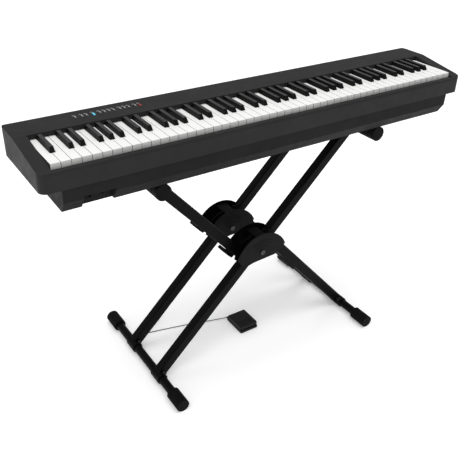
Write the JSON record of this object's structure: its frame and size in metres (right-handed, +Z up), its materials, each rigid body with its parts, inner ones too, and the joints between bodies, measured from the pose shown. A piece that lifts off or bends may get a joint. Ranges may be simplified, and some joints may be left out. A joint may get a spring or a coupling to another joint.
{
  "type": "digital piano on stand",
  "caption": "Black slim digital piano with full-size keys on a double X stand, with a foot pedal and its cord.",
  "frame": {"origin": "on the floor, midway between the two floor bars and midway along them", "axes": "+X along the keyboard towards the treble end, +Y away from the player, +Z up"},
  "size_m": [1.292, 0.4833, 0.8205],
  "materials": {
    "case": "fine satin grain",
    "tub": "matte",
    "ivory": "soft gloss",
    "ebony": "satin",
    "button": "satin",
    "button_lit": "lit",
    "button_red": "satin",
    "steel": "satin powder coat",
    "bolt": "semi-gloss",
    "rubber": "ribbed, matte",
    "hub": "fine grain",
    "pedal": "satin",
    "cord": "satin"
  },
  "bodies": {
    "floor_set": {"pedal_base": "pedal", "pedal_sole": "rubber", "pedal_pin": "bolt", "pedal_cord": "cord", "cord_hank": "cord", "hank_tie": "hub", "phone_plug": "pedal"},
    "frame_a": {"leg_a_front": "steel", "leg_a_rear": "steel", "floor_bar_left": "steel", "floor_caps_left": "rubber", "foot_saddles_left": "steel", "foot_bolts_left": "bolt", "top_bar_right": "steel", "top_sleeve_right": "rubber", "hub_cover_front": "hub", "hub_cover_rear": "hub", "pivot_bolts": "bolt"},
    "frame_b": {"leg_b_front": "steel", "leg_b_rear": "steel", "floor_bar_right": "steel", "floor_caps_right": "rubber", "foot_saddles_right": "steel", "foot_bolts_right": "bolt", "top_bar_left": "steel", "top_sleeve_left": "rubber"},
    "trigger_front": {"release_trigger_front": "hub"},
    "trigger_rear": {"release_trigger_rear": "hub"},
    "piano": {"top_case": "case", "bottom_case": "tub", "key_bed": "tub", "jack_block": "tub", "white_keys": "ivory", "black_keys": "ebony"},
    "tread": {"pedal_tread": "pedal"},
    "key_c4": {"key_c4": "ivory"},
    "key_d4": {"key_d4": "ivory"},
    "key_e4": {"key_e4": "ivory"},
    "key_f4": {"key_f4": "ivory"},
    "key_g4": {"key_g4": "ivory"},
    "key_a4": {"key_a4": "ivory"},
    "key_b4": {"key_b4": "ivory"},
    "key_c_sharp4": {"key_c_sharp4": "ebony"},
    "key_d_sharp4": {"key_d_sharp4": "ebony"},
    "key_f_sharp4": {"key_f_sharp4": "ebony"},
    "key_g_sharp4": {"key_g_sharp4": "ebony"},
    "key_a_sharp4": {"key_a_sharp4": "ebony"},
    "button_01": {"button_01": "button"},
    "button_02": {"button_02": "button"},
    "button_03": {"button_03": "button"},
    "button_04": {"button_04": "button_lit"},
    "button_05": {"button_05": "button"},
    "button_06": {"button_06": "button"},
    "button_07": {"button_07": "button"},
    "button_08": {"button_08": "button"},
    "button_09": {"button_09": "button"},
    "button_10": {"button_10": "button"},
    "button_11": {"button_11": "button"},
    "button_12": {"button_12": "button"},
    "button_13": {"button_13": "button_red"}
  },
  "joints": [
    {"name": "stand_lean", "type": "hinge", "parent": "floor_set", "child": "frame_a", "pos_m": [-0.34803, 0, 0.0195], "axis": [0, -1, 0], "range_deg": [-14, 17]},
    {"name": "stand_hub", "type": "hinge", "parent": "frame_a", "child": "frame_b", "pos_m": [0.003, 0, 0.34173], "axis": [0, 1, 0], "range_deg": [-28, 34]},
    {"name": "piano_level", "type": "hinge", "parent": "frame_a", "child": "piano", "pos_m": [0.35403, 0, 0.66395], "axis": [0, 1, 0], "range_deg": [-14, 17]},
    {"name": "trigger_front_pull", "type": "hinge", "parent": "frame_b", "child": "trigger_front", "pos_m": [-0.08054, -0.0482, 0.33508], "axis": [0, 1, 0], "range_deg": [0, 2.5], "stiffness_Nm_per_rad": 3, "springref_deg": -6.88},
    {"name": "trigger_rear_pull", "type": "hinge", "parent": "frame_b", "child": "trigger_rear", "pos_m": [-0.08054, 0.1133, 0.33508], "axis": [0, 1, 0], "range_deg": [0, 2.5], "stiffness_Nm_per_rad": 3, "springref_deg": -6.88},
    {"name": "key_c4_press", "type": "hinge", "parent": "piano", "child": "key_c4", "pos_m": [0, 0.038, 0.79315], "axis": [1, 0, 0], "range_deg": [0, 2.8], "stiffness_Nm_per_rad": 1, "springref_deg": -14.32},
    {"name": "key_d4_press", "type": "hinge", "parent": "piano", "child": "key_d4", "pos_m": [0, 0.038, 0.79315], "axis": [1, 0, 0], "range_deg": [0, 2.8], "stiffness_Nm_per_rad": 1, "springref_deg": -14.32},
    {"name": "key_e4_press", "type": "hinge", "parent": "piano", "child": "key_e4", "pos_m": [0, 0.038, 0.79315], "axis": [1, 0, 0], "range_deg": [0, 2.8], "stiffness_Nm_per_rad": 1, "springref_deg": -14.32},
    {"name": "key_f4_press", "type": "hinge", "parent": "piano", "child": "key_f4", "pos_m": [0, 0.038, 0.79315], "axis": [1, 0, 0], "range_deg": [0, 2.8], "stiffness_Nm_per_rad": 1, "springref_deg": -14.32},
    {"name": "key_g4_press", "type": "hinge", "parent": "piano", "child": "key_g4", "pos_m": [0, 0.038, 0.79315], "axis": [1, 0, 0], "range_deg": [0, 2.8], "stiffness_Nm_per_rad": 1, "springref_deg": -14.32},
    {"name": "key_a4_press", "type": "hinge", "parent": "piano", "child": "key_a4", "pos_m": [0, 0.038, 0.79315], "axis": [1, 0, 0], "range_deg": [0, 2.8], "stiffness_Nm_per_rad": 1, "springref_deg": -14.32},
    {"name": "key_b4_press", "type": "hinge", "parent": "piano", "child": "key_b4", "pos_m": [0, 0.038, 0.79315], "axis": [1, 0, 0], "range_deg": [0, 2.8], "stiffness_Nm_per_rad": 1, "springref_deg": -14.32},
    {"name": "key_c_sharp4_press", "type": "hinge", "parent": "piano", "child": "key_c_sharp4", "pos_m": [0, 0.038, 0.79315], "axis": [1, 0, 0], "range_deg": [0, 2.8], "stiffness_Nm_per_rad": 1, "springref_deg": -14.32},
    {"name": "key_d_sharp4_press", "type": "hinge", "parent": "piano", "child": "key_d_sharp4", "pos_m": [0, 0.038, 0.79315], "axis": [1, 0, 0], "range_deg": [0, 2.8], "stiffness_Nm_per_rad": 1, "springref_deg": -14.32},
    {"name": "key_f_sharp4_press", "type": "hinge", "parent": "piano", "child": "key_f_sharp4", "pos_m": [0, 0.038, 0.79315], "axis": [1, 0, 0], "range_deg": [0, 2.8], "stiffness_Nm_per_rad": 1, "springref_deg": -14.32},
    {"name": "key_g_sharp4_press", "type": "hinge", "parent": "piano", "child": "key_g_sharp4", "pos_m": [0, 0.038, 0.79315], "axis": [1, 0, 0], "range_deg": [0, 2.8], "stiffness_Nm_per_rad": 1, "springref_deg": -14.32},
    {"name": "key_a_sharp4_press", "type": "hinge", "parent": "piano", "child": "key_a_sharp4", "pos_m": [0, 0.038, 0.79315], "axis": [1, 0, 0], "range_deg": [0, 2.8], "stiffness_Nm_per_rad": 1, "springref_deg": -14.32},
    {"name": "button_01_press", "type": "slide", "parent": "piano", "child": "button_01", "axis": [0, 0, -1], "range_m": [0, 0.0008], "stiffness_N_per_m": 500, "springref_m": -0.001},
    {"name": "button_02_press", "type": "slide", "parent": "piano", "child": "button_02", "axis": [0, 0, -1], "range_m": [0, 0.0008], "stiffness_N_per_m": 500, "springref_m": -0.001},
    {"name": "button_03_press", "type": "slide", "parent": "piano", "child": "button_03", "axis": [0, 0, -1], "range_m": [0, 0.0008], "stiffness_N_per_m": 500, "springref_m": -0.001},
    {"name": "button_04_press", "type": "slide", "parent": "piano", "child": "button_04", "axis": [0, 0, -1], "range_m": [0, 0.0008], "stiffness_N_per_m": 500, "springref_m": -0.001},
    {"name": "button_05_press", "type": "slide", "parent": "piano", "child": "button_05", "axis": [0, 0, -1], "range_m": [0, 0.0008], "stiffness_N_per_m": 500, "springref_m": -0.001},
    {"name": "button_06_press", "type": "slide", "parent": "piano", "child": "button_06", "axis": [0, 0, -1], "range_m": [0, 0.0008], "stiffness_N_per_m": 500, "springref_m": -0.001},
    {"name": "button_07_press", "type": "slide", "parent": "piano", "child": "button_07", "axis": [0, 0, -1], "range_m": [0, 0.0008], "stiffness_N_per_m": 500, "springref_m": -0.001},
    {"name": "button_08_press", "type": "slide", "parent": "piano", "child": "button_08", "axis": [0, 0, -1], "range_m": [0, 0.0008], "stiffness_N_per_m": 500, "springref_m": -0.001},
    {"name": "button_09_press", "type": "slide", "parent": "piano", "child": "button_09", "axis": [0, 0, -1], "range_m": [0, 0.0008], "stiffness_N_per_m": 500, "springref_m": -0.001},
    {"name": "button_10_press", "type": "slide", "parent": "piano", "child": "button_10", "axis": [0, 0, -1], "range_m": [0, 0.0008], "stiffness_N_per_m": 500, "springref_m": -0.001},
    {"name": "button_11_press", "type": "slide", "parent": "piano", "child": "button_11", "axis": [0, 0, -1], "range_m": [0, 0.0008], "stiffness_N_per_m": 500, "springref_m": -0.001},
    {"name": "button_12_press", "type": "slide", "parent": "piano", "child": "button_12", "axis": [0, 0, -1], "range_m": [0, 0.0008], "stiffness_N_per_m": 500, "springref_m": -0.001},
    {"name": "button_13_press", "type": "slide", "parent": "piano", "child": "button_13", "axis": [0, 0, -1], "range_m": [0, 0.0008], "stiffness_N_per_m": 500, "springref_m": -0.001},
    {"name": "pedal_press", "type": "hinge", "parent": "floor_set", "child": "tread", "pos_m": [0.009, 0.024, 0.0154], "axis": [1, 0, 0], "range_deg": [0, 2.2], "stiffness_Nm_per_rad": 20, "springref_deg": -1.72}
  ],
  "couplings": [
    {"joint": "stand_hub", "follows": "stand_lean", "ratio": 2},
    {"joint": "piano_level", "follows": "stand_lean", "ratio": 1}
  ]
}
